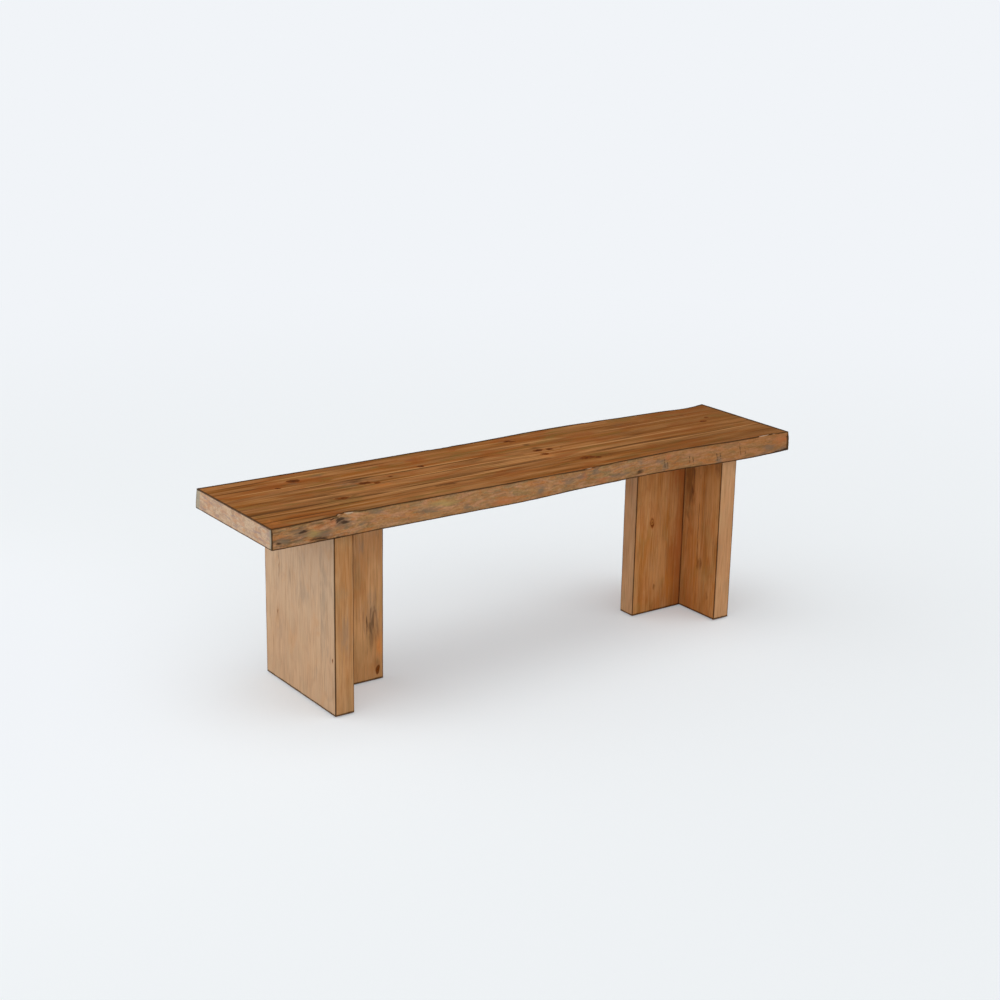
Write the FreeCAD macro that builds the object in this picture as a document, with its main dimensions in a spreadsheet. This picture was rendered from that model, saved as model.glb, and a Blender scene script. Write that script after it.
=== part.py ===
import FreeCAD, Part
import math
import os
import re
import Sketcher

# Live edge bench: a glued-up pine slab seat with natural long edges on two pedestals
# that are T-shaped in plan. Millimetres, +Z up, +X along the seat, -Y is the front.
# The origin is on the floor under the middle of the seat.

# Driving sizes
SIZES = [
    ("seat_length", 1430),
    ("seat_width", 352),  # over the widest reach of the two natural edges
    ("seat_thickness", 46),
    ("seat_height", 457),  # floor to the top of the seat
    ("edge_wander", 25),  # how far the natural edges come in from the widest reach
    ("trim_allowance", 20),  # left on the flitch for cross-cutting and ripping
    ("arris", 1.8),  # chamfer on every edge that shows
    ("end_overhang", 156),  # seat end to the outer face of a cross panel
    ("panel_width", 305),
    ("panel_thickness", 47),
    ("stave_width", 62),  # the narrow outer boards of a cross panel
    ("web_length", 152),
    ("web_thickness", 47),
    ("cleat_depth", 34.5),
    ("cleat_height", 34),
    ("cleat_setback", 12),  # cross panel to cleat
    ("cleat_end_gap", 20),  # cleat to the free end of the web
    ("tongue_thickness", 10),  # loose tongues in the glue lines
    ("tongue_width", 16),
    ("tongue_stop", 50),  # board end to tongue
    ("tenon_thickness", 14),  # loose tenons between web, panel and seat
    ("web_tenon_width", 80),
    ("web_tenon_length", 50),
    ("web_tenon_margin", 50),  # web end to tenon
    ("seat_tenon_width", 36),
    ("seat_tenon_length", 40),
    ("glue_room", 1),  # hole deeper than what goes into it
    ("fit_clearance", 0.2),  # hole wider than what goes into it
    ("bolt_diameter", 8),
    ("bolt_end_distance", 20),  # cleat end to bolt
    ("bolt_head_diameter", 17),
    ("bolt_head_height", 3),
    ("bolt_socket_width", 5),
    ("bolt_socket_depth", 2),
    ("bolt_clearance", 1),  # cleat hole wider than the bolt
    ("bolt_tip_gap", 5),  # bolt tip to the blind end of the insert
    ("insert_diameter", 12),
    ("insert_length", 25),
    ("screw_diameter", 5),
    ("screw_tip_cover", 6),  # wood left over the tip in the far cleat
    ("screw_head_diameter", 11),
    ("screw_head_height", 3),
    ("pad_size", 32),  # square felt pads under the pedestals
    ("pad_thickness", 3),
    ("pad_inset", 28),  # free end of the web to the pad's middle
]

# Natural edge: how far each of the evenly spaced control points lies inside the widest
# reach, as a share of edge_wander, from the left end of the flitch to its right end.
FRONT_EDGE = {
    "underside": (0.06, 0.0, 0.05, 0.26, 0.16, 0.16, 0.14, 0.0, 0.34,
                  0.64, 0.72, 0.86, 0.72, 0.28, 0.0, 0.0, 0.42),
    "waist": (0.02, 0.0, 0.2, 0.36, 0.34, 0.32, 0.3, 0.2, 0.42,
              0.42, 0.7, 0.82, 0.82, 0.56, 0.22, 0.22, 0.34),
    "top": (0.06, 0.06, 0.52, 0.64, 0.64, 0.6, 0.58, 0.46, 0.64,
            0.28, 0.88, 0.9, 1.06, 0.98, 0.5, 0.66, 0.44),
}
BACK_EDGE = {
    "underside": (0.3, 0.2, 0.16, 0.28, 0.36, 0.28, 0.2, 0.32, 0.28,
                  0.12, 0.0, 0.0, 0.14, 0.36, 0.48, 0.66, 0.54),
    "waist": (0.38, 0.36, 0.36, 0.46, 0.52, 0.48, 0.4, 0.48, 0.46,
              0.28, 0.12, 0.12, 0.26, 0.54, 0.62, 0.86, 0.72),
    "top": (0.56, 0.64, 0.68, 0.76, 0.8, 0.79, 0.73, 0.77, 0.78,
            0.57, 0.37, 0.37, 0.5, 0.84, 0.84, 1.24, 0.96),
}
EDGE_SPLINE_DEGREE = 3

# Places that several pieces share, in terms of the driving sizes
LEG_TOP = "(seat_height - seat_thickness)"
LEG_HEIGHT = "(seat_height - seat_thickness - pad_thickness)"
PEDESTAL_X = "(seat_length / 2 - end_overhang)"  # bench centre to a panel's outer face
WEB_END = "(panel_thickness + web_length)"
WEB_FACE = "(web_thickness / 2)"
CLEAT_LENGTH = "(web_length - cleat_setback - cleat_end_gap)"
CLEAT_START = "(panel_thickness + cleat_setback)"
CLEAT_MIDDLE = f"({CLEAT_START} + {CLEAT_LENGTH} / 2)"
CLEAT_UNDERSIDE = f"({LEG_TOP} - cleat_height)"
CLEAT_FACE = f"({WEB_FACE} + cleat_depth)"
BOLT_OFFSET = f"({CLEAT_LENGTH} / 2 - bolt_end_distance)"
BOLT_ACROSS = f"({WEB_FACE} + cleat_depth / 2)"
STAVE_SEAM = "(panel_width / 2 - stave_width)"
STAVE_MIDDLE = "(panel_width / 2 - stave_width / 2)"
PANEL_MIDDLE = "(panel_thickness / 2)"
PAD_X_AT_WEB = f"({WEB_END} - pad_inset)"
# The middle seat board covers the web and both cleats, so every bolt goes into one board
SEAT_SEAM = CLEAT_FACE
SEAT_MIDDLE_Z = f"({LEG_TOP} + seat_thickness / 2)"
# Long screws go through one cleat and the web into the other cleat, between the bolts
SCREW_PLACES = [f"({CLEAT_MIDDLE} {sign} {BOLT_OFFSET} / 2)" for sign in "-+"]
SCREW_Z = f"({LEG_TOP} - cleat_height / 2)"
SCREW_HOLE = "(screw_diameter + fit_clearance)"

TOUCH = 0.01  # within this an edge lies in a face
FRONT, BACK = -1, 1
LEFT, RIGHT = -1, 1

# A sketch's own axes and the points of its lines and circles
ACROSS_AXIS, UP_AXIS = -1, -2
START, END, CENTRE = 1, 2, 3
UPWARD = FreeCAD.Vector(0, 0, 1)
HALF_TURN = FreeCAD.Rotation(UPWARD, 180)
HEXAGON_SIDES = 6
HEXAGON_TURN = FreeCAD.Rotation(UPWARD, 360 / HEXAGON_SIDES)

doc = FreeCAD.newDocument("LiveEdgeBench")
sheet = doc.addObject("Spreadsheet::Sheet", "Sizes")
for row, (name, size) in enumerate(SIZES, 1):
    sheet.set(f"A{row}", name)
    sheet.set(f"B{row}", str(size))
    sheet.setAlias(f"B{row}", name)
doc.recompute()

ALIASES = {name for name, size in SIZES}
pieces = []


def bound(words):
    """The expression with each size named in the sheet."""
    return re.sub(r"[a-z_]+", lambda word: "Sizes." + word[0] if word[0] in ALIASES else word[0], words)


def value(words):
    """What an expression comes to with the sizes in the sheet."""
    return float(doc.Sizes.evalExpression(bound(words)))


def new_body(label):
    body = doc.addObject("PartDesign::Body", label)
    body.Label = label
    body.AllowCompound = True
    pieces.append(body)
    return body


def new_sketch(body, name, role, offset=None):
    """A sketch on one of the body's origin planes, moved along the plane's normal."""
    sketch = body.newObject("Sketcher::SketchObject", f"{body.Name}_{name}")
    origin_plane = next(item for item in body.Origin.OriginFeatures if item.Role == role)
    sketch.AttachmentSupport = [(origin_plane, "")]
    sketch.MapMode = "FlatFace"
    if offset:
        sketch.setExpression("AttachmentOffset.Base.z", bound(offset))
    return sketch


def drive(sketch, kind, *where, words):
    """A dimension of the sketch that follows an expression."""
    index = sketch.addConstraint(Sketcher.Constraint(kind, *where, value(words)))
    sketch.setExpression(f"Constraints[{index}]", bound(words))


def pin(sketch, geometry, point, across, up):
    """Hold one point of the sketch at two expressions measured from its origin."""
    for kind, words, axis in (("DistanceX", across, UP_AXIS), ("DistanceY", up, ACROSS_AXIS)):
        if words == "0":
            sketch.addConstraint(Sketcher.Constraint("PointOnObject", geometry, point, axis))
        else:
            drive(sketch, kind, ACROSS_AXIS, START, geometry, point, words=words)


def add_rectangle(sketch, left, right, low, high):
    x0, x1, y0, y1 = value(left), value(right), value(low), value(high)
    corners = [(x0, y0), (x1, y0), (x1, y1), (x0, y1)]
    points = [FreeCAD.Vector(x, y, 0) for x, y in corners]
    lines = [sketch.addGeometry(Part.LineSegment(a, b), False)
             for a, b in zip(points, points[1:] + points[:1])]
    for line, following in zip(lines, lines[1:] + lines[:1]):
        sketch.addConstraint(Sketcher.Constraint("Coincident", line, END, following, START))
    for line, kind in zip(lines, ("Horizontal", "Vertical") * 2):
        sketch.addConstraint(Sketcher.Constraint(kind, line))
    pin(sketch, lines[0], START, left, low)
    pin(sketch, lines[2], START, right, high)


def add_slots(sketch, centres, width, height):
    """Rectangles about their centres."""
    for across, up in centres:
        add_rectangle(sketch, f"({across} - {width} / 2)", f"({across} + {width} / 2)",
                      f"({up} - {height} / 2)", f"({up} + {height} / 2)")


def add_circles(sketch, centres, diameter):
    for across, up in centres:
        middle = FreeCAD.Vector(value(across), value(up), 0)
        circle = Part.Circle(middle, UPWARD, value(diameter) / 2)
        index = sketch.addGeometry(circle, False)
        pin(sketch, index, CENTRE, across, up)
        drive(sketch, "Diameter", index, words=diameter)


def pad(sketch, length, reverse=False):
    body = sketch.getParentGeoFeatureGroup()
    feature = body.newObject("PartDesign::Pad", f"{sketch.Name}_pad")
    feature.Profile = sketch
    feature.Reversed = reverse
    feature.setExpression("Length", bound(length))
    doc.recompute()
    return feature


def pocket(sketch, depth=None, reverse=False):
    """Cut the sketch to a depth, or both ways through the whole body."""
    body = sketch.getParentGeoFeatureGroup()
    before = body.Shape.Volume
    feature = body.newObject("PartDesign::Pocket", f"{sketch.Name}_cut")
    feature.Profile = sketch
    feature.Reversed = reverse
    if depth:
        feature.setExpression("Length", bound(depth))
    else:
        feature.Type = "ThroughAll"
        feature.Midplane = True
    doc.recompute()
    if not feature.Shape.Volume < before - TOUCH:
        raise RuntimeError(f"{feature.Name} cuts nothing")
    return feature


def lies_in(edge, axis, words):
    """Whether an edge lies in the plane where that axis has the given value."""
    low = getattr(edge.BoundBox, axis + "Min")
    high = getattr(edge.BoundBox, axis + "Max")
    return abs(low - value(words)) < TOUCH and abs(high - value(words)) < TOUCH


def ease_arrises(feature, hidden, level_only=False):
    """Chamfer a board's edges, all or the level ones, that aren't in a glued or covered face."""
    body = feature.getParentGeoFeatureGroup()
    edges = [f"Edge{index}" for index, edge in enumerate(feature.Shape.Edges, 1)
             if not any(lies_in(edge, axis, words) for axis, words in hidden)
             and not (level_only and edge.BoundBox.ZLength > TOUCH)]
    chamfer = body.newObject("PartDesign::Chamfer", f"{body.Name}_eased")
    chamfer.Base = (feature, edges)
    chamfer.setExpression("Size", bound("arris"))
    doc.recompute()


def both_ends(local_x):
    """The places along the bench of something local_x in from each panel's outer face."""
    return [f"(-({PEDESTAL_X} - {local_x}))", f"({PEDESTAL_X} - {local_x})"]


BOLT_CENTRES = [
    (across, f"({face} * {BOLT_ACROSS})")
    for sign in "+-"
    for across in both_ends(f"({CLEAT_MIDDLE} {sign} {BOLT_OFFSET})")
    for face in (FRONT, BACK)
]
STAVE_CENTRES = [
    (across, f"({face} * {STAVE_MIDDLE})") for face in (FRONT, BACK) for across in both_ends(PANEL_MIDDLE)
]
PAD_CENTRES = STAVE_CENTRES + [(across, "0") for across in both_ends(PAD_X_AT_WEB)]
WEB_TENON_HEIGHTS = [
    "(pad_thickness + web_tenon_margin + web_tenon_width / 2)",
    f"({LEG_TOP} - web_tenon_margin - web_tenon_width / 2)",
]


# Seat
def natural_outline(body, level, height, face, shares):
    """Outline of the flitch at one height: a spline along the natural edge, sawn elsewhere."""
    sketch = new_sketch(body, level, "XY_Plane", height)
    steps = len(shares) - 1
    poles = [
        (f"((seat_length + 2 * trim_allowance) * ({index / steps} - 0.5))",
         f"({face} * (seat_width / 2 - edge_wander * {share}))")
        for index, share in enumerate(shares)
    ]
    points = [FreeCAD.Vector(value(across), value(up), 0) for across, up in poles]
    curve = Part.BSplineCurve()
    curve.buildFromPoles(points, False, EDGE_SPLINE_DEGREE)
    edge = sketch.addGeometry(curve, False)
    sketch.exposeInternalGeometry(edge)
    rings = [index for index, item in enumerate(sketch.Geometry) if isinstance(item, Part.Circle)]
    for ring, (across, up) in zip(rings, poles):
        pin(sketch, ring, CENTRE, "0" if abs(value(across)) < TOUCH else across, up)
    sawn_y = f"({face} * ({SEAT_SEAM} - trim_allowance))"
    far_left = FreeCAD.Vector(points[0].x, value(sawn_y), 0)
    far_right = FreeCAD.Vector(points[-1].x, value(sawn_y), 0)
    corners = [points[-1], far_right, far_left, points[0]]
    sides = [sketch.addGeometry(Part.LineSegment(a, b), False) for a, b in zip(corners, corners[1:])]
    loop = [edge] + sides
    for line, following in zip(loop, loop[1:] + loop[:1]):
        sketch.addConstraint(Sketcher.Constraint("Coincident", line, END, following, START))
    for line, kind in zip(sides, ("Vertical", "Horizontal", "Vertical")):
        sketch.addConstraint(Sketcher.Constraint(kind, line))
    drive(sketch, "DistanceY", ACROSS_AXIS, START, sides[1], START, words=sawn_y)
    return sketch


def groove_seat_seam(body, name, face, towards):
    """Stopped groove in a seat seam; face says which seam, towards which way it is cut."""
    groove = new_sketch(body, name, "XZ_Plane", f"({-face} * {SEAT_SEAM})")
    length = "(seat_length - 2 * tongue_stop + 2 * glue_room)"
    add_slots(groove, [("0", SEAT_MIDDLE_Z)], length, "(tongue_thickness + fit_clearance)")
    pocket(groove, "(tongue_width / 2 + glue_room)", reverse=towards < 0)


def edge_board(label, face, shares):
    """An outer seat board: lofted natural edge, cross-cut, ripped, eased and grooved."""
    body = new_body(label)
    underside = natural_outline(body, "underside", LEG_TOP, face, shares["underside"])
    waist = natural_outline(body, "waist", SEAT_MIDDLE_Z, face, shares["waist"])
    top = natural_outline(body, "top", "seat_height", face, shares["top"])
    doc.recompute()
    flitch = body.newObject("PartDesign::AdditiveLoft", f"{label}_flitch")
    flitch.Profile = underside
    flitch.Sections = [waist, top]
    doc.recompute()
    saw = new_sketch(body, "saw", "XY_Plane")
    half = "(seat_length / 2)"
    beyond = "(seat_length / 2 + 2 * trim_allowance)"
    outside = f"({face} * (seat_width / 2 + 2 * trim_allowance))"
    clear_of_edge = f"({face} * (seat_width / 2 + trim_allowance))"
    seam = f"({face} * {SEAT_SEAM})"
    waste = f"({face} * ({SEAT_SEAM} - 2 * trim_allowance))"
    add_rectangle(saw, f"-{beyond}", beyond, waste, outside)
    add_rectangle(saw, f"-{half}", half, seam, clear_of_edge)
    ease_arrises(pocket(saw), [("Y", seam)], level_only=True)
    groove_seat_seam(body, "groove", face, face)
    mortises = new_sketch(body, "mortises", "XY_Plane", LEG_TOP)
    centres = [(x, y) for x, y in STAVE_CENTRES if value(y) * face > 0]
    add_slots(mortises, centres, "(tenon_thickness + fit_clearance)", "(seat_tenon_width + fit_clearance)")
    pocket(mortises, "(seat_tenon_length / 2 + glue_room)", reverse=True)


def middle_board():
    body = new_body("seat_board_middle")
    outline = new_sketch(body, "outline", "XY_Plane", LEG_TOP)
    add_rectangle(outline, "-seat_length / 2", "seat_length / 2", f"-{SEAT_SEAM}", SEAT_SEAM)
    ease_arrises(pad(outline, "seat_thickness"), [("Y", SEAT_SEAM), ("Y", f"-{SEAT_SEAM}")])
    groove_seat_seam(body, "front_groove", FRONT, BACK)
    groove_seat_seam(body, "back_groove", BACK, FRONT)
    holes = new_sketch(body, "insert_holes", "XY_Plane", LEG_TOP)
    add_circles(holes, BOLT_CENTRES, "(insert_diameter + fit_clearance)")
    pocket(holes, "(insert_length + glue_room)", reverse=True)


def seat_tongues():
    body = new_body("seat_tongues")
    plan = new_sketch(body, "plan", "XY_Plane", f"({SEAT_MIDDLE_Z} - tongue_thickness / 2)")
    centres = [("0", f"({face} * {SEAT_SEAM})") for face in (FRONT, BACK)]
    add_slots(plan, centres, "(seat_length - 2 * tongue_stop)", "tongue_width")
    pad(plan, "tongue_thickness")


# Pedestals: each is built with its panel's outer face at x = 0 and its web towards +X,
# then set under its end of the seat
def stand(body, side):
    """Put a pedestal's piece under the left or the right end of the seat."""
    if side == RIGHT:
        body.Placement = FreeCAD.Placement(FreeCAD.Vector(), HALF_TURN)
    body.setExpression("Placement.Base.x", bound(f"({side} * {PEDESTAL_X})"))


def pedestal_name(side, piece, face=None):
    """Name of a pedestal's piece; on the turned right pedestal front and back trade places."""
    words = ["left" if side == LEFT else "right", piece]
    if face:
        words.append("front" if face * side > 0 else "back")
    return "_".join(words)


def upright(label, left, right, low, high, hidden):
    """A board with upright grain that stands on the pads and carries the seat."""
    body = new_body(label)
    plan = new_sketch(body, "plan", "XY_Plane", "pad_thickness")
    add_rectangle(plan, left, right, low, high)
    ease_arrises(pad(plan, LEG_HEIGHT), hidden + [("Z", LEG_TOP)])
    return body


def groove_stave_seam(body, name, face, towards):
    """Stopped groove for a tongue between a stave and the panel's middle board."""
    groove = new_sketch(body, name, "XZ_Plane", f"({-face} * {STAVE_SEAM})")
    length = f"({LEG_HEIGHT} - 2 * tongue_stop + 2 * glue_room)"
    middle = f"(pad_thickness + {LEG_HEIGHT} / 2)"
    add_slots(groove, [(PANEL_MIDDLE, middle)], "(tongue_thickness + fit_clearance)", length)
    pocket(groove, "(tongue_width / 2 + glue_room)", reverse=towards < 0)


def mortise_for_web(body, reverse):
    """Mortises for the loose tenons where web and panel meet."""
    mortises = new_sketch(body, "web_mortises", "YZ_Plane", "panel_thickness")
    centres = [("0", z) for z in WEB_TENON_HEIGHTS]
    add_slots(mortises, centres, "(tenon_thickness + fit_clearance)", "(web_tenon_width + fit_clearance)")
    pocket(mortises, "(web_tenon_length / 2 + glue_room)", reverse=reverse)


def stave(side, face):
    """A narrow outer board of a cross panel, mortised on top for the seat."""
    seam = f"({face} * {STAVE_SEAM})"
    outside = f"({face} * panel_width / 2)"
    low, high = (seam, outside) if face > 0 else (outside, seam)
    label = pedestal_name(side, "panel_stave", face)
    body = upright(label, "0", "panel_thickness", low, high, [("Y", seam)])
    groove_stave_seam(body, "groove", face, face)
    mortise = new_sketch(body, "seat_mortise", "XY_Plane", LEG_TOP)
    centres = [(PANEL_MIDDLE, f"({face} * {STAVE_MIDDLE})")]
    add_slots(mortise, centres, "(tenon_thickness + fit_clearance)", "(seat_tenon_width + fit_clearance)")
    pocket(mortise, "(seat_tenon_length / 2 + glue_room)")
    stand(body, side)


def panel_board(side):
    """The wide middle board of a cross panel."""
    label = pedestal_name(side, "panel_board")
    seams = [("Y", STAVE_SEAM), ("Y", f"-{STAVE_SEAM}")]
    body = upright(label, "0", "panel_thickness", f"-{STAVE_SEAM}", STAVE_SEAM, seams)
    groove_stave_seam(body, "front_groove", FRONT, BACK)
    groove_stave_seam(body, "back_groove", BACK, FRONT)
    mortise_for_web(body, reverse=False)
    stand(body, side)


def web(side):
    label = pedestal_name(side, "web")
    glued = [("X", "panel_thickness")]
    body = upright(label, "panel_thickness", WEB_END, f"-{WEB_FACE}", WEB_FACE, glued)
    mortise_for_web(body, reverse=True)
    holes = new_sketch(body, "screw_holes", "XZ_Plane", WEB_FACE)
    add_circles(holes, [(x, SCREW_Z) for x in SCREW_PLACES], SCREW_HOLE)
    pocket(holes, "web_thickness")
    stand(body, side)


def cleat(side, face):
    """A block on one face of the web, under the seat, for the bolts."""
    body = new_body(pedestal_name(side, "cleat", face))
    near, far = f"({face} * {WEB_FACE})", f"({face} * {CLEAT_FACE})"
    plan = new_sketch(body, "plan", "XY_Plane", CLEAT_UNDERSIDE)
    low, high = (near, far) if face > 0 else (far, near)
    add_rectangle(plan, CLEAT_START, f"({CLEAT_START} + {CLEAT_LENGTH})", low, high)
    ease_arrises(pad(plan, "cleat_height"), [("Y", near), ("Z", LEG_TOP)])
    bolts = new_sketch(body, "bolt_holes", "XY_Plane", LEG_TOP)
    centres = [(f"({CLEAT_MIDDLE} {sign} {BOLT_OFFSET})", f"({face} * {BOLT_ACROSS})") for sign in "-+"]
    add_circles(bolts, centres, "(bolt_diameter + bolt_clearance)")
    pocket(bolts, "cleat_height")
    screws = new_sketch(body, "screw_holes", "XZ_Plane", f"({-face} * {WEB_FACE})")
    add_circles(screws, [(x, SCREW_Z) for x in SCREW_PLACES], SCREW_HOLE)
    blind = "(cleat_depth - screw_tip_cover + fit_clearance)"
    pocket(screws, "cleat_depth" if face > 0 else blind, reverse=face < 0)
    stand(body, side)


# Joinery and hardware, each kind as one group
def panel_tongues():
    body = new_body("panel_tongues")
    plan = new_sketch(body, "plan", "XY_Plane", "(pad_thickness + tongue_stop)")
    centres = [(x, f"({face} * {STAVE_SEAM})") for x in both_ends(PANEL_MIDDLE) for face in (FRONT, BACK)]
    add_slots(plan, centres, "tongue_thickness", "tongue_width")
    pad(plan, f"({LEG_HEIGHT} - 2 * tongue_stop)")


def web_tenons():
    body = new_body("web_tenons")
    side_view = new_sketch(body, "side_view", "XZ_Plane", "-tenon_thickness / 2")
    centres = [(x, z) for x in both_ends("panel_thickness") for z in WEB_TENON_HEIGHTS]
    add_slots(side_view, centres, "web_tenon_length", "web_tenon_width")
    pad(side_view, "tenon_thickness")


def seat_tenons():
    body = new_body("seat_tenons")
    plan = new_sketch(body, "plan", "XY_Plane", f"({LEG_TOP} - seat_tenon_length / 2)")
    add_slots(plan, STAVE_CENTRES, "tenon_thickness", "seat_tenon_width")
    pad(plan, "seat_tenon_length")


def cleat_screws():
    """Flat-headed screws through a cleat and the web into the cleat beyond."""
    body = new_body("cleat_screws")
    for name, side in (("left", LEFT), ("right", RIGHT)):
        centres = [(f"({side} * ({PEDESTAL_X} - {x}))", SCREW_Z) for x in SCREW_PLACES]
        head_face = f"({side} * {CLEAT_FACE})"
        shanks = new_sketch(body, f"{name}_shanks", "XZ_Plane", head_face)
        add_circles(shanks, centres, "screw_diameter")
        pad(shanks, "(2 * cleat_depth + web_thickness - screw_tip_cover)", reverse=side > 0)
        heads = new_sketch(body, f"{name}_heads", "XZ_Plane", head_face)
        add_circles(heads, centres, "screw_head_diameter")
        pad(heads, "screw_head_height", reverse=side < 0)


def add_hexagon(sketch, across, up, width):
    """A regular hexagon about a pinned circle that its six sides touch."""
    middle = FreeCAD.Vector(value(across), value(up), 0)
    radius = value(width) / 2
    ring = sketch.addGeometry(Part.Circle(middle, UPWARD, radius), True)
    pin(sketch, ring, CENTRE, across, up)
    drive(sketch, "Diameter", ring, words=width)
    corner = FreeCAD.Vector(radius / math.cos(math.pi / HEXAGON_SIDES), 0, 0)
    points = []
    for _ in range(HEXAGON_SIDES):
        points.append(middle + corner)
        corner = HEXAGON_TURN.multVec(corner)
    sides = [sketch.addGeometry(Part.LineSegment(a, b), False)
             for a, b in zip(points, points[1:] + points[:1])]
    for line, following in zip(sides, sides[1:] + sides[:1]):
        sketch.addConstraint(Sketcher.Constraint("Coincident", line, END, following, START))
    for line in sides:
        sketch.addConstraint(Sketcher.Constraint("Tangent", line, ring))
    for line in sides[1:-1]:
        sketch.addConstraint(Sketcher.Constraint("Equal", sides[0], line))
    sketch.addConstraint(Sketcher.Constraint("Horizontal", sides[1]))


def seat_bolts():
    """Wide-headed furniture bolts up through the cleats into the inserts."""
    body = new_body("seat_bolts")
    shanks = new_sketch(body, "shanks", "XY_Plane", CLEAT_UNDERSIDE)
    add_circles(shanks, BOLT_CENTRES, "bolt_diameter")
    pad(shanks, "(cleat_height + insert_length - bolt_tip_gap)")
    heads = new_sketch(body, "heads", "XY_Plane", CLEAT_UNDERSIDE)
    add_circles(heads, BOLT_CENTRES, "bolt_head_diameter")
    pad(heads, "bolt_head_height", reverse=True)
    sockets = new_sketch(body, "sockets", "XY_Plane", f"({CLEAT_UNDERSIDE} - bolt_head_height)")
    for across, up in BOLT_CENTRES:
        add_hexagon(sockets, across, up, "bolt_socket_width")
    pocket(sockets, "bolt_socket_depth", reverse=True)


def threaded_inserts():
    body = new_body("threaded_inserts")
    rings = new_sketch(body, "rings", "XY_Plane", LEG_TOP)
    add_circles(rings, BOLT_CENTRES, "insert_diameter")
    add_circles(rings, BOLT_CENTRES, "(bolt_diameter + fit_clearance)")
    pad(rings, "insert_length")


def felt_pads():
    body = new_body("felt_pads")
    squares = new_sketch(body, "squares", "XY_Plane")
    add_slots(squares, PAD_CENTRES, "pad_size", "pad_size")
    pad(squares, "pad_thickness")


edge_board("seat_board_front", FRONT, FRONT_EDGE)
middle_board()
edge_board("seat_board_back", BACK, BACK_EDGE)
seat_tongues()
for end in (LEFT, RIGHT):
    panel_board(end)
    web(end)
    for board_face in (FRONT, BACK):
        stave(end, board_face)
        cleat(end, board_face)
panel_tongues()
web_tenons()
seat_tenons()
cleat_screws()
seat_bolts()
threaded_inserts()
felt_pads()
doc.recompute()

# Nothing is written unless every object is sound
for item in doc.Objects:
    if {"Invalid", "Error"} & set(item.State):
        raise RuntimeError(f"{item.Name} failed: {item.State}")
for piece in pieces:
    if piece.Shape.isNull() or not piece.Shape.isValid():
        raise RuntimeError(f"{piece.Label} has no valid shape")
os.makedirs("parts", exist_ok=True)
for piece in pieces:
    piece.Shape.exportStep(f"parts/{piece.Label}.step")
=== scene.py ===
import math
from itertools import combinations

import bpy
import numpy as np
from mathutils import Matrix, Vector, noise
from mathutils.bvhtree import BVHTree


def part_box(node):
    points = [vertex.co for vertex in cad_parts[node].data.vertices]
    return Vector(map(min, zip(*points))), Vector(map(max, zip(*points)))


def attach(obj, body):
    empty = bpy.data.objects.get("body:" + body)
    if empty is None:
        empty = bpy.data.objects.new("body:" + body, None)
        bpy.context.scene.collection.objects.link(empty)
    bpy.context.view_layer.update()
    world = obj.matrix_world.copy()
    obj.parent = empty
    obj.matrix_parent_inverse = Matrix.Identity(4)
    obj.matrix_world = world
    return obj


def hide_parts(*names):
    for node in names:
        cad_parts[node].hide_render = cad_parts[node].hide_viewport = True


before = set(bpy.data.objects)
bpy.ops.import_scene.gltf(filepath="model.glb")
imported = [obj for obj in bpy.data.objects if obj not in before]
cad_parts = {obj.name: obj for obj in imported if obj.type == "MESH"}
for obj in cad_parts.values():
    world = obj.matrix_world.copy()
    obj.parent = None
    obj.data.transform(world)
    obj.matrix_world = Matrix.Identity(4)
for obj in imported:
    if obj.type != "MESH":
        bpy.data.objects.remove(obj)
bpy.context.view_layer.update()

# Live edge bench: a stained pine slab seat with natural long edges on two pedestals that
# are T-shaped in plan. Lengths are in millimetres in the bench's frame, +X along the seat,
# -Y to the front and +Z up from the floor, until a mesh is made in metres.
MM = 0.001
X, Y, Z = 0, 1, 2
FRONT, BACK = -1, 1
SIDES = [(axis, end) for axis in (X, Y, Z) for end in (-1, 1)]
ARRISES = [(a, b) for a, b in combinations(SIDES, 2) if a[0] != b[0]]
SEAT_TOP = 457
SEAT_UNDERSIDE = 411

# Board surfaces
SOFT_ARRIS = 1.5  # hand-eased corner radius
GLUED_ARRIS = 0.3  # corner radius at a glue line
SCRAPED = 0.25  # depth of a scraper's hollows
CLOSE_LINES = (0, 0.35, 0.9, 1.6, 2.6, 4.0, 6.0)  # mesh lines beside an arris
TOUCH = 1e-6  # a point this close to a side lies in it
ROUGHNESS = (1.0, 2.0, 2)  # fall-off, step and number of octaves of a surface's unevenness


def linear(code):
    """An sRGB hex colour as linear RGBA."""
    shares = [int(code[place:place + 2], 16) / 255 for place in (1, 3, 5)]
    return [s / 12.92 if s <= 0.04045 else ((s + 0.055) / 1.055) ** 2.4 for s in shares] + [1]


def add(tree, kind, inputs=(), out=None, stops=(), **settings):
    """Add a node with its settings, values and links, and give back one of its outputs."""
    made = tree.nodes.new("ShaderNode" + kind)
    for name, setting in settings.items():
        setattr(made, name, setting)
    for key, source in dict(inputs).items():
        if isinstance(source, bpy.types.NodeSocket):
            tree.links.new(source, made.inputs[key])
        else:
            made.inputs[key].default_value = source
    for place, (position, shade) in enumerate(stops):
        ramp = made.color_ramp.elements
        stop = ramp[place] if place < 2 else ramp.new(position)
        stop.position = position
        stop.color = shade
    if out is not None:
        return made.outputs[out]
    return next((socket for socket in made.outputs if socket.enabled), None)


# Mesh tools
def ruled_lines(low, high, step, close=CLOSE_LINES):
    """Mesh lines across a board, close together beside both arrises."""
    inner_low, inner_high = low + close[-1], high - close[-1]
    count = max(2, round((inner_high - inner_low) / step) + 1)
    margin = np.array(close[:-1])
    return np.concatenate([low + margin, np.linspace(inner_low, inner_high, count), high - margin[::-1]])


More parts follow.
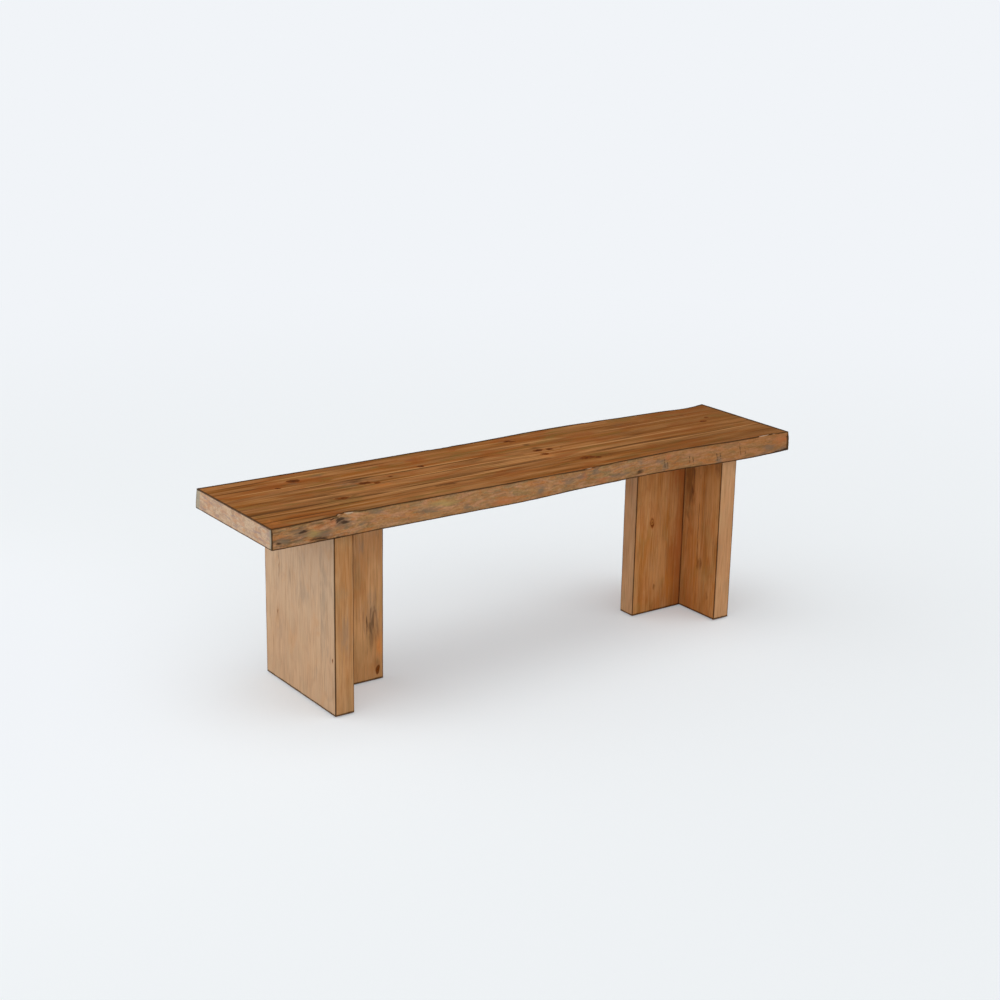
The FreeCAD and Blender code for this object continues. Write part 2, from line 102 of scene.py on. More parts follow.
def board_skin(lines):
    """Points, lattice places and quads of a block's surface, ruled along X, Y and Z."""
    counts = tuple(len(line) for line in lines)
    place = np.indices(counts)
    on_skin = np.zeros(counts, bool)
    for axis, count in enumerate(counts):
        on_skin |= (place[axis] == 0) | (place[axis] == count - 1)
    number = np.full(counts, -1)
    number[on_skin] = np.arange(on_skin.sum())
    lattice = np.stack([place[axis][on_skin] for axis in range(3)], axis=1)
    points = np.stack([lines[axis][lattice[:, axis]] for axis in range(3)], axis=1)
    quads = []
    for axis in range(3):
        for end in (0, -1):
            sheet = np.take(number, end, axis=axis)
            corners = [sheet[:-1, :-1], sheet[1:, :-1], sheet[1:, 1:], sheet[:-1, 1:]]
            quad = np.stack(corners, axis=-1).reshape(-1, 4)
            quads.append(quad[:, ::-1] if (end == 0) != (axis == Y) else quad)
    return points, lattice, np.concatenate(quads)


def unevenness(points, size):
    """Smooth bumps, about -1 to 1, of the given size in mm along each axis."""
    spots = np.asarray(points, float) / np.asarray(size, float)
    return np.array([noise.fractal(Vector(spot), *ROUGHNESS) for spot in spots])


def eased(values, start, full):
    """0 before the start, 1 past the full value, smooth between."""
    share = np.clip((values - start) / (full - start), 0, 1)
    return share * share * (3 - 2 * share)


def depth_from(points, box, side):
    """How far inside one side of the block each point lies."""
    axis, end = side
    return points[:, axis] - box[0][axis] if end < 0 else box[1][axis] - points[:, axis]


def on_side(points, box, side):
    """Which points lie in one side of the block."""
    return depth_from(points, box, side) < TOUCH


def ease_arrises(points, box, radius_of):
    """Round each arris of a block to the radius that radius_of gives for its two sides."""
    rounded = points.copy()
    for side, other in ARRISES:
        radius = radius_of(side, other)
        into_side = radius - depth_from(rounded, box, side)
        into_other = radius - depth_from(rounded, box, other)
        reach = np.maximum(np.hypot(into_side, into_other), 1e-9)
        proud = (into_side > 0) & (into_other > 0) & (reach > radius)
        pull = np.where(proud, 1 - radius / reach, 0)
        for (axis, end), into in ((side, into_side), (other, into_other)):
            rounded[:, axis] -= end * pull * into
    return rounded


def nearness_to_arris(points, box, glued, reach_of):
    """How strongly stain gathers beside the open arrises, as far as reach_of says for two sides."""
    gathered = np.zeros(len(points))
    for side, other in ARRISES:
        if side not in glued and other not in glued:
            from_side = depth_from(points, box, side) / reach_of(side, other)
            from_other = depth_from(points, box, other) / reach_of(other, side)
            gathered = np.maximum(gathered, 1.3 * (1 - np.hypot(from_side, from_other)))
    return gathered


def placed(name, data):
    """A new object in the scene."""
    made = bpy.data.objects.new(name, data)
    bpy.context.scene.collection.objects.link(made)
    return made


def new_piece(name, points, quads, marks, material, slot, *nodes):
    """A mesh piece in the bench's frame, with its marks for the material, in place of CAD nodes."""
    mesh = bpy.data.meshes.new(name)
    mesh.from_pydata((points * MM).tolist(), [], [list(map(int, quad)) for quad in quads])
    for mark, values in marks.items():
        kind, field = ("FLOAT_VECTOR", "vector") if values.ndim == 2 else ("FLOAT", "value")
        attribute = mesh.attributes.new(mark, kind, "POINT")
        attribute.data.foreach_set(field, values.astype(np.float32).ravel())
    mesh.polygons.foreach_set("use_smooth", [True] * len(mesh.polygons))
    mesh.materials.append(material)
    piece = placed(name, mesh)
    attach(piece, "root")
    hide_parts(*nodes)


def box_mm(node):
    return [np.array(corner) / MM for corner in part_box(node)]


# Timber: where a board lay in its trunk decides the growth rings that it shows. grain lists
# the axes along, across and through the board, pith is the trunk's heart across and through
# it, ring the growth ring's width, lean how far the heart drifts per mm along the board,
# start a stretch of trunk that no other board was sawn from. tone is how light the stain is,
# figure, streaky and cast how strong its growth lines, streaks and patches of colour are.
ALONG_SEAT = (X, Y, Z)
UP_PANEL = (Z, Y, X)
UP_WEB = (Z, X, Y)


def in_trunk(points, timber):
    """Bench places as places in the trunk: along it, and across and through from its heart."""
    along, across, through = timber["grain"]
    spots = np.asarray(points, float).reshape(-1, 3)
    return np.stack([
        spots[:, along] + timber["start"],
        spots[:, across] - timber["pith"][0],
        spots[:, through] - timber["pith"][1],
    ], axis=1)


# Stained pine, planed, hand-scraped and oiled matt: orange-brown with growth lines, long darker
# and paler streaks, red-brown knots that the lines run round, patches of olive, red and slate
# cast, and a dark stain line left along the eased arrises.
SEAT_STAIN = {
    "honey": "#A87040", "orange": "#975B25", "brown": "#76481F", "late": "#543213", "streak": "#4B2B0F",
    "pale": "#C38C56", "olive": "#7C612E", "red": "#944C1A", "slate": "#695849", "glow": "#B87139",
}
LEFT_STAIN = {
    "honey": "#BC8B5C", "orange": "#AF7846", "brown": "#94673A", "late": "#895E33", "streak": "#714F30",
    "pale": "#CCA075", "olive": "#987F56", "red": "#A76E41", "slate": "#7F7164", "glow": "#C47A3E",
}
RIGHT_STAIN = {
    "honey": "#BF8550", "orange": "#B27137", "brown": "#915E2D", "late": "#855425", "streak": "#6C4320",
    "pale": "#D3A070", "olive": "#967945", "red": "#A85D2A", "slate": "#84705C", "glow": "#BB7232",
}
# The pale sapwood colour also paints a sheen on faces turned to the left, and the bare-wood colour a
# highlight on worn bevels
WOOD_MARKS = {
    "sapwood_and_sheen": "#BFA58B", "knot_red": "#7E3F0A", "knot_rim": "#5A2B08", "knot_heart": "#381803",
    "arris": "#33200F", "bare_and_highlight": "#C6B8A4", "scar": "#4F3726",
}
SAWN_END = {
    "pink": "#B08568", "mauve": "#8F7A73", "orange": "#C08C5C", "umber": "#977C6C", "grey": "#8C776F",
    "bark": "#8E8C7C",
}
NATURAL_EDGE = {
    "tan": "#A2764B", "pink": "#B4815F", "orange": "#A86A39", "olive": "#7E6C47", "slate": "#6C5F50",
    "dark": "#4F3726", "burl": "#35251B", "pale": "#BC946C", "flush": "#AC653E", "sallow": "#AE9157",
    "russet": "#8F582A",
}

# Each grain pattern's spots in mm along the trunk, across it and through it, and its detail and
# twist. They are drawn somewhat coarser than real pine, whose finest lines would not show.
GRAIN = {
    "sway": (420, 60, 60, 2.0, 0.0),
    "wobble": (16, 16, 16, 1.0, 0.0),
    "rub": (60, 12, 12, 3.0, 0.0),
}
SEAT_GRAIN = {
    "bands": (560, 24, 24, 2.0, 0.0),
    "streaks": (280, 14, 14, 0.5, 0.0),
    "threads": (150, 11, 11, 0.0, 0.0),
    "fibre": (130, 1.8, 1.8, 2.0, 0.0),
    "patches": (110, 34, 34, 3.0, 0.4),
    "weather": (46, 30, 10, 4.0, 0.8),
    "flecks": (30, 14, 5, 3.0, 0.7),
    "grit": (6, 6, 4, 2.0, 0.0),
    "sawn": (300, 34, 6, 3.0, 0.3),
}
LEG_GRAIN = {
    "bands": (230, 44, 44, 3.0, 0.3),
    "streaks": (170, 5, 5, 2.0, 0.0),
    "threads": (240, 2.6, 2.6, 2.0, 0.0),
    "fibre": (60, 2.6, 2.6, 3.0, 0.0),
    "patches": (75, 38, 38, 3.0, 0.6),
    "flecks": (46, 7, 7, 3.0, 0.5),
}
CHANNELS = ("Red", "Green", "Blue")  # each pattern has three fields
KNOTS = {"red": (0.85, "knot_red"), "dark": (0.9, "knot_rim"), "ring": (0.55, "orange")}  # rim, inside
LINES = ("line", "gleam")
KNOT_EYE = (3.2, 1.8, 1.0)  # how many times a knot's own size the rings bend round it
KNOT_PUSH = 1.5  # how many rings a knot pushes aside
SMALL_KNOT = 3  # half width of a knot that leaves the rings straight
RING_SWAY = 4.0  # how many rings they wander along a board
BEND = {"wobble": (10, 8, 8), "sway": (0, 20, 20)}  # how far marks are bent out of shape
KNOT_TEAR, MARK_TEAR = 1.6, 4.0  # how ragged their outlines are, in their own sizes
LATE_WOOD = [(0.0, 0.1), (1.0, 0.0), (0.40, 0.15), (0.72, 0.8), (0.85, 1.0), (0.97, 0.1)]  # over a year
FLECK_TILT = math.radians(-4)  # the flecks on a natural edge climb a little towards the right
BOARD_MARKS = ("arris", "sap_and_sheen", "edge", "sawn_end", "rim", "wane", "scarred", "bare_and_highlight", "corner", "darker_tone")

# Layers of colour: a field, the levels where it starts and is full, its share, its shade in a
# palette and, if it is kept to a part of the board, that part's field
# Sawn ends: pale, with pink, orange and purple-grey saw marks across, greyer near the bark
SAWN_END_LAYERS = [
    ("sawn Red", 0.50, 0.62, 0.6, "pink", "sawn_end"),
    ("sawn Green", 0.52, 0.64, 0.7, "mauve", "sawn_end"),
    ("sawn Blue", 0.54, 0.68, 0.45, "orange", "sawn_end"),
    ("weather Red", 0.52, 0.66, 0.35, "umber", "sawn_end"),
    ("grit Red", 0.54, 0.66, 0.2, "grey", "sawn_end"),
    ("rim", 0.0, 1.0, 0.7, "bark"),
]
# Natural edge: tan sapwood mottled pink, orange and olive, with dark and slate flecks and grit
NATURAL_EDGE_LAYERS = [
    ("wane", 0.0, 1.0, 0.8, "tan"),
    ("weather Red", 0.46, 0.60, 0.7, "pink", "wane"),
    ("weather Green", 0.48, 0.62, 0.7, "orange", "wane"),
    ("weather Blue", 0.50, 0.64, 0.6, "olive", "wane"),
    ("flecks Green", 0.50, 0.68, 0.35, "slate", "wane"),
    ("flecks Blue", 0.50, 0.70, 0.3, "pale", "wane"),
    ("grit Red", 0.52, 0.68, 0.22, "dark", "wane"),
    ("grit Green", 0.52, 0.68, 0.22, "pale", "wane"),
    ("grit Blue", 0.54, 0.70, 0.18, "slate", "wane"),
    ("flecks Red", 0.47, 0.64, 0.65, "dark", "scarred"),
    ("darker_tone", 0.0, 1.0, 0.4, "russet", "wane"),
]
# Marks of each kind on a natural edge and on the faces
EDGE_MARK_LAYERS = [
    ("flush", 3.8, 2.0, 0.6, "flush"),
    ("sallow", 3.8, 2.0, 0.6, "sallow"),
    ("slate", 3.9, 2.2, 0.6, "slate"),
    ("burl", 3.5, 2.3, 0.85, "burl"),
    ("split", 3.3, 2.6, 0.8, "dark"),
]
FACE_MARK_LAYERS = [
    ("glow", 3.7, 2.0, 0.7, "glow"),
    ("smoke", 3.8, 2.0, 0.36, "slate"),
    ("shade", 3.7, 2.0, 0.6, "streak"),
    ("scar", 3.5, 2.2, 0.55, "scar"),
    ("crack", 3.3, 2.6, 0.8, "arris"),
    ("line", 4.0, 2.6, 0.8, "late"),
    ("gleam", 4.0, 2.6, 0.7, "pale"),
    ("blush", 3.8, 2.0, 0.5, "red"),
]
# Knots: a dark rim, redder or paler wood inside it and a dark heart
KNOT_LAYERS = []
for kind, (rim, inside) in KNOTS.items():
    KNOT_LAYERS += [
        (kind, 3.3, 2.1, 0.45, "red"),
        (kind, 2.5, 2.05, rim, "knot_rim"),
        (kind, 1.8, 1.4, 0.8, inside),
        (kind, 1.3, 0.9, rim, "knot_heart"),
    ]


def bare_material(name):
    """A new material and its empty node tree."""
    material = bpy.data.materials.new(name)
    material.use_nodes = True
    material.node_tree.nodes.clear()
    return material, material.node_tree


def tinted(palette, tone=1.0):
    """A palette's colours made linear, and lighter or darker by a board's tone."""
    return {shade: [tone * part for part in linear(code)[:3]] + [1] for shade, code in palette.items()}


def coat(tree, ground, layers):
    """Lay colours over a ground. Each layer is a field, the levels where it starts and is full,
    its share, its colour and, if it is kept to a part of the surface, that part's mark."""
    for field, start, full, share, colour, *part in layers:
        limits = {"Value": field, 1: start, 2: full, 3: 0.0, 4: share}
        amount = add(tree, "MapRange", limits, interpolation_type="SMOOTHSTEP")
        for mark in part:
            amount = add(tree, "Math", {0: amount, 1: mark}, operation="MULTIPLY")
        ground = add(tree, "Mix", {0: amount, 6: ground, 7: colour}, data_type="RGBA")
    return ground


def finished(tree, colour, rough, height, strength, depth, **more):
    """A surface's colour, its roughness, which as a pair follows the height, and its relief in mm."""
    if isinstance(rough, tuple):
        rough = add(tree, "MapRange", {"Value": height, 1: 0.3, 2: 0.7, 3: rough[0], 4: rough[1]})
    bump = add(tree, "Bump", {"Strength": strength, "Distance": depth * MM, "Height": height})
    finish = {"Base Color": colour, "Roughness": rough, "Normal": bump, **more}
    add(tree, "OutputMaterial", {0: add(tree, "BsdfPrincipled", finish)})


def grain_fields(tree, grain, on_seat):
    """Three fields of noise for each grain pattern, with its spots laid along the trunk."""
    field = {}
    patterns = {**GRAIN, **(SEAT_GRAIN if on_seat else LEG_GRAIN)}
    for pattern, (*sizes, detail, twist) in patterns.items():
        tilt = (0, FLECK_TILT if pattern == "flecks" and on_seat else 0, 0)
        laid = {"Vector": grain, "Rotation": tilt, "Scale": sizes}
        spots = add(tree, "Mapping", laid, vector_type="TEXTURE")
        inputs = {"Vector": spots, "Scale": 1.0, "Detail": detail, "Roughness": 0.55, "Distortion": twist}
        shades = add(tree, "TexNoise", inputs, out="Color")
        parts = add(tree, "SeparateColor", {0: shades}).node.outputs
        field.update({f"{pattern} {channel}": parts[channel] for channel in CHANNELS})
    return field


def from_mark(tree, start, centre, sizes, stretch=(1, 1, 1)):
    """Distance from a mark's centre in its own half sizes, each stretched so many times."""
    scale = [0 if length is None else 1 / (length * times) for length, times in zip(sizes, stretch)]
    offset = [-c * s for c, s in zip(centre, scale)]
    local = add(tree, "VectorMath", {0: start, 1: scale, 2: offset}, operation="MULTIPLY_ADD")
    return add(tree, "VectorMath", {0: local}, out="Value", operation="LENGTH")


def nearest_marks(tree, timber, grain, field):
    """Distance to the nearest mark of each kind, and how far sway and knots push the growth rings."""
    bent = {}
    for pattern, most in BEND.items():
        parts = {axis: field[f"{pattern} {channel}"] for axis, channel in enumerate(CHANNELS)}
        drift = add(tree, "CombineXYZ", parts)
        drift = add(tree, "VectorMath", {0: drift, 1: (0.5, 0.5, 0.5)}, operation="SUBTRACT")
        bent[pattern] = add(tree, "VectorMath", {0: drift, 1: most, 2: grain}, operation="MULTIPLY_ADD")
    starts = {"crack": grain, "split": grain, "line": bent["sway"], "gleam": bent["sway"]}
    swirl = add(tree, "Math", {0: field["sway Red"], 1: RING_SWAY}, operation="MULTIPLY")
    nearest = {}
    for place, sizes, kind in marks_of(timber):
        centre = in_trunk(place, timber)[0]
        start = starts.get(kind, bent["wobble"])
        gap = from_mark(tree, start, centre, sizes)
        if kind in nearest:
            gap = add(tree, "Math", {0: gap, 1: nearest[kind]}, operation="MINIMUM")
        nearest[kind] = gap
        if kind in KNOTS and sizes[1] > SMALL_KNOT:
            reach = from_mark(tree, start, centre, sizes, KNOT_EYE)
            limits = {"Value": reach, 1: 2.4, 2: 0.2, 3: 0.0, 4: KNOT_PUSH}
            push = add(tree, "MapRange", limits, interpolation_type="SMOOTHSTEP")
            swirl = add(tree, "Math", {0: swirl, 1: push}, operation="ADD")
    return nearest, swirl


def ragged_marks(tree, nearest, field, on_seat):
    """The same distances torn by a grain pattern, so that no mark has a smooth outline."""
    ragged = {}
    for kind, gap in nearest.items():
        tear = KNOT_TEAR if kind in KNOTS else MARK_TEAR
        pattern = "streaks" if kind in LINES else "grit" if kind in KNOTS and on_seat else "flecks"
        torn = {0: field[pattern + " Blue"], 1: tear, 2: gap}
        ragged[kind] = add(tree, "Math", torn, operation="MULTIPLY_ADD")
    return ragged


def late_wood(tree, timber, grain, swirl):
    """Growth rings: pale early wood darkens to a sharp late line, each year with its own strength."""
    from_heart = add(tree, "VectorMath", {0: grain, 1: (0, 1, 1)}, operation="MULTIPLY")
    radius = add(tree, "VectorMath", {0: from_heart}, out="Value", operation="LENGTH")
    rings = add(tree, "Math", {0: radius, 1: 1 / timber["ring"], 2: swirl}, operation="MULTIPLY_ADD")
    along = add(tree, "SeparateXYZ", {0: grain}, out="X")
    lean = timber.get("lean", 0.0) / timber["ring"]
    rings = add(tree, "Math", {0: along, 1: lean, 2: rings}, operation="MULTIPLY_ADD")
    year = add(tree, "Math", {0: rings}, operation="FLOOR")
    season = add(tree, "Math", {0: rings}, operation="FRACT")
    stops = [(place, (level, level, level, 1)) for place, level in LATE_WOOD]
    late = add(tree, "ValToRGB", {0: season}, stops=stops)
    strength = add(tree, "TexWhiteNoise", {"W": year}, out="Value", noise_dimensions="1D")
    strength = add(tree, "Math", {0: strength, 1: 1.6}, operation="POWER")
    return add(tree, "Math", {0: late, 1: strength}, operation="MULTIPLY")


def pine_layers(timber):
    """Broad tone bands, growth lines, dark and pale streaks, patches of cast, paler sapwood with a
    painted sheen on faces turned to the left, and painted shade in a web's inner corner.
    """
    streaky, cast = timber["streaky"], timber["cast"]
    return [
        ("bands Red", 0.40, 0.60, 1.0, "orange"),
        ("bands Green", 0.50, 0.64, 0.3, "brown"),
        ("late", 0.0, 1.0, timber["figure"], "late"),
        ("streaks Red", 0.54, 0.64, streaky, "streak"),
        ("streaks Green", 0.53, 0.63, streaky, "pale"),
        ("threads Red", 0.56, 0.66, streaky, "streak"),
        ("threads Green", 0.56, 0.66, streaky, "pale"),
        ("patches Red", 0.52, 0.66, 0.4 * cast, "olive"),
        ("patches Green", 0.50, 0.64, 0.4 * cast, "red"),
        ("patches Blue", 0.58, 0.72, 0.15 * cast, "slate"),
        ("darker_tone", 0.0, 1.0, 0.36, "brown"),
        ("edge", 0.0, 1.0, 1.0, "pale"),
        ("sap_and_sheen", 0.0, 1.0, 1.0, "sapwood_and_sheen"),
        ("streaks Blue", 0.54, 0.66, 0.25, "brown", "sap_and_sheen"),
        ("patches Green", 0.52, 0.68, 0.4, "honey", "sap_and_sheen"),
        ("patches Blue", 0.54, 0.70, 0.3, "slate", "sap_and_sheen"),
        ("fibre Red", 0.50, 0.70, 0.35, "streak"),
        ("fibre Green", 0.54, 0.70, 0.25, "pale"),
        # Painted shade: redder and darker across a web towards its inner corner with the cross panel,
        # then a dark stained line in the joint itself
        ("corner", 0.15, 1.0, 0.55, "red"),
        ("corner", 0.86, 0.97, 0.8, "arris"),
    ]


def stained_pine(timber):
    material, tree = bare_material("stained_pine_" + timber["node"])
    on_seat = timber["stain"] is SEAT_STAIN
    grain = add(tree, "Attribute", out="Vector", attribute_name="grain")
    field = {mark: add(tree, "Attribute", out="Fac", attribute_name=mark) for mark in BOARD_MARKS}
    field.update(grain_fields(tree, grain, on_seat))
    nearest, swirl = nearest_marks(tree, timber, grain, field)
    field.update(ragged_marks(tree, nearest, field, on_seat))
    field["late"] = late_wood(tree, timber, grain, swirl)
    field["not_sawn"] = add(tree, "Math", {0: 1.0, 1: field["sawn_end"]}, operation="SUBTRACT")
    # Stain gathered on the arrises, broken where they were rubbed, and wood that the wear left bare,
    # whose pale colour is also a painted highlight on the worn bevels that face up
    gathered = {0: field["rub Red"], 1: 0.6, 2: field["arris"]}
    field["gathered"] = add(tree, "Math", gathered, operation="MULTIPLY_ADD")
    arris_layers = [("gathered", *timber["line"], 0.85, "arris"), ("bare_and_highlight", 0.3, 0.9, 0.5, "bare_and_highlight")]

    pine = {**tinted(timber["stain"], timber["tone"]), **tinted(WOOD_MARKS)}
    skin = tinted(NATURAL_EDGE)
    coats = [(pine_layers(timber), pine)]
    if on_seat:
        coats.append((SAWN_END_LAYERS, tinted(SAWN_END)))
    if "wane" in timber:
        coats.append((NATURAL_EDGE_LAYERS, skin))
    coats += [(EDGE_MARK_LAYERS, skin, "wane"), (FACE_MARK_LAYERS, pine, "not_sawn")]
    coats.append((KNOT_LAYERS + arris_layers, pine))
    layers = []
    for rows, palette, *whole in coats:
        for name, start, full, share, shade, *part in rows:
            if name in field:
                parts = [field[mark] for mark in whole + part]
                layers.append((field[name], start, full, share, palette[shade], *parts))
    wood = coat(tree, pine["honey"], layers)

    fibre = field["fibre Red"]
    gloss = add(tree, "MapRange", {"Value": fibre, 1: 0.3, 2: 0.7, 3: 0.7, 4: 0.85})
    relief = add(tree, "Math", {0: field["late"], 1: 0.4, 2: fibre}, operation="MULTIPLY_ADD")
    oiled = {"IOR": 1.5, "Specular IOR Level": 0.03}
    finished(tree, wood, gloss, relief, 0.25, 0.2, **oiled)
    return material


# Knots and marks by kind. Those on a face run through the board and are listed as a place along the
# face's two axes, half length and half width, those on a natural edge as x, z, half length and half
# height. Others have half sizes along, across and through the board, where None runs right through.
def marks_of(timber):
    """A board's knots and marks as a place on the bench, half sizes and a kind."""
    first, second = sorted(timber["grain"][:2])
    marks = list(timber.get("other_marks", ()))
    for kind, spots in timber.get("on_face", {}).items():
        for *spot, long, wide in spots:
            place = [0, 0, 0]
            place[first], place[second] = spot
            marks.append((place, (long, wide, None), kind))
    for kind, spots in timber.get("on_edge", {}).items():
        marks += [((x, 0, z), (long, None, high), kind) for x, z, long, high in spots]
    return marks


SEAT_FRONT = {
    "node": "seat_board_front", "grain": ALONG_SEAT, "pith": (-20, 380), "ring": 22, "lean": 0.004,
    "start": 0, "wane": FRONT, "tone": 0.86, "figure": 0.5, "streaky": 0.3, "cast": 1.1,
    "on_face": {
        "red": [(-487, -63, 10, 7), (150, -88, 13, 7)],
        "dark": [(175, -98, 6, 4)],
        "shade": [(-240, -95, 24, 8)],
        "glow": [(-690, -135, 18, 12)],
        "line": [(-620, -76, 85, 2.6), (-400, -76, 70, 2.2), (-280, -67, 60, 2.2), (-200, -61, 60, 2),
                 (-620, -128, 70, 2.4), (480, -60, 100, 1.8), (-520, -100, 50, 2)],
        "gleam": [(-380, -84, 50, 2), (-280, -75, 60, 2), (-160, -66, 70, 2), (-60, -60, 50, 1.8),
                  (400, -64, 140, 2), (590, -63, 90, 1.8), (-480, -117, 60, 2.2)],
    },
    "on_edge": {
        "burl": [(-644, 439, 9, 3), (-700, 425, 7, 3), (-603, 416, 22, 6), (-580, 412, 20, 4),
                 (-553, 446, 9, 4), (-540, 441, 6, 2.5), (254, 424, 9, 5), (-566, 452, 16, 1.6),
                 (660, 411, 44, 3.5), (700, 414, 10, 4)],
        "slate": [(-240, 425, 6, 4), (-652, 436, 24, 9), (-688, 428, 16, 6), (-591, 426, 18, 8),
                  (-546, 441, 18, 9), (-502, 430, 12, 5), (-458, 448, 14, 5), (-331, 433, 22, 7),
                  (-36, 430, 9, 8), (45, 434, 14, 7), (73, 441, 10, 6), (119, 446, 9, 6),
                  (196, 427, 26, 4), (257, 447, 10, 5), (318, 438, 12, 4), (332, 426, 6, 8),
                  (489, 419, 7, 8), (616, 413, 30, 4), (648, 428, 14, 7), (684, 417, 22, 5)],
        "flush": [(-610, 441, 10, 4), (-569, 444, 9, 5), (-147, 421, 22, 6), (84, 442, 9, 5),
                  (137, 424, 16, 6), (340, 445, 12, 6), (690, 440, 20, 9)],
        "sallow": [(-618, 433, 16, 7), (-300, 440, 30, 6)],
        "split": [(404, 427, 1.3, 11), (414, 426, 1.0, 9), (555, 434, 1.3, 13), (569, 430, 1.0, 8),
                  (330, 432, 1.1, 9), (338, 429, 0.9, 7), (483, 428, 1.2, 9), (493, 431, 0.9, 7)],
    },
}
SEAT_MIDDLE = {
    "node": "seat_board_middle", "grain": ALONG_SEAT, "pith": (-6, 396), "ring": 20, "lean": 0.012,
    "start": 3000, "tone": 0.91, "figure": 0.42, "streaky": 0.26, "cast": 1.2,
    "on_face": {
        "smoke": [(-408, 20, 40, 20)],
        "shade": [(-398, 26, 18, 9), (95, 42, 12, 7)],
        "dark": [(-388, 6, 10, 6), (-315, 19, 4, 3), (-214, 52, 6, 4), (90, 20, 9, 5), (120, 15, 6, 4),
                 (600, 20, 6, 4)],
        "red": [(-366, -6, 6, 4), (88, -13, 7, 5), (632, 45, 5, 3)],
        "glow": [(-362, -26, 20, 9), (84, -28, 16, 8)],
        "line": [(-200, -9, 150, 1.7), (-530, -30, 70, 2), (-510, 40, 50, 2.4), (-390, 43, 30, 2.4),
                 (-200, 40, 80, 1.7), (-80, -53, 80, 2.2), (20, -47, 50, 2), (330, -54, 90, 1.8)],
        "gleam": [(-150, -4, 190, 2), (-60, -24, 100, 1.7), (0, -34, 60, 1.7), (290, -10, 110, 1.8),
                  (-200, 45, 90, 1.8), (-520, -36, 60, 1.8)],
    },
}
SEAT_BACK = {
    "node": "seat_board_back", "grain": ALONG_SEAT, "pith": (70, 384), "ring": 23, "lean": -0.006,
    "start": 6000, "wane": BACK, "tone": 0.9, "figure": 0.36, "streaky": 0.2, "cast": 1.4,
    "on_face": {
        "dark": [(-513, 100, 10, 7), (-568, 68, 4, 2.5), (73, 122, 7, 4), (83, 113, 5, 3)],
        "smoke": [(-519, 84, 14, 7), (-450, 110, 16, 7), (-205, 112, 16, 6)],
        "shade": [(95, 75, 8, 6), (590, 92, 7, 4)],
        "glow": [(-690, 150, 26, 10)],
        "line": [(-640, 126, 60, 2), (-660, 88, 40, 2), (-340, 118, 60, 1.8)],
        "gleam": [(-480, 124, 60, 1.8), (-610, 60, 60, 2), (40, 84, 110, 1.6), (420, 78, 120, 1.6)],
    },
    "on_edge": {
        "burl": [(-310, 436, 14, 9), (260, 428, 18, 5), (505, 440, 12, 5), (-610, 424, 16, 5)],
        "slate": [(-120, 430, 20, 6), (40, 440, 14, 5), (420, 421, 24, 5), (-470, 438, 18, 6)],
        "flush": [(100, 436, 18, 8), (600, 432, 22, 8), (-220, 420, 20, 6)],
        "sallow": [(340, 434, 22, 7), (-400, 424, 24, 6)],
        "split": [(-200, 433, 1.3, 12), (210, 436, 1.2, 10)],
    },
}
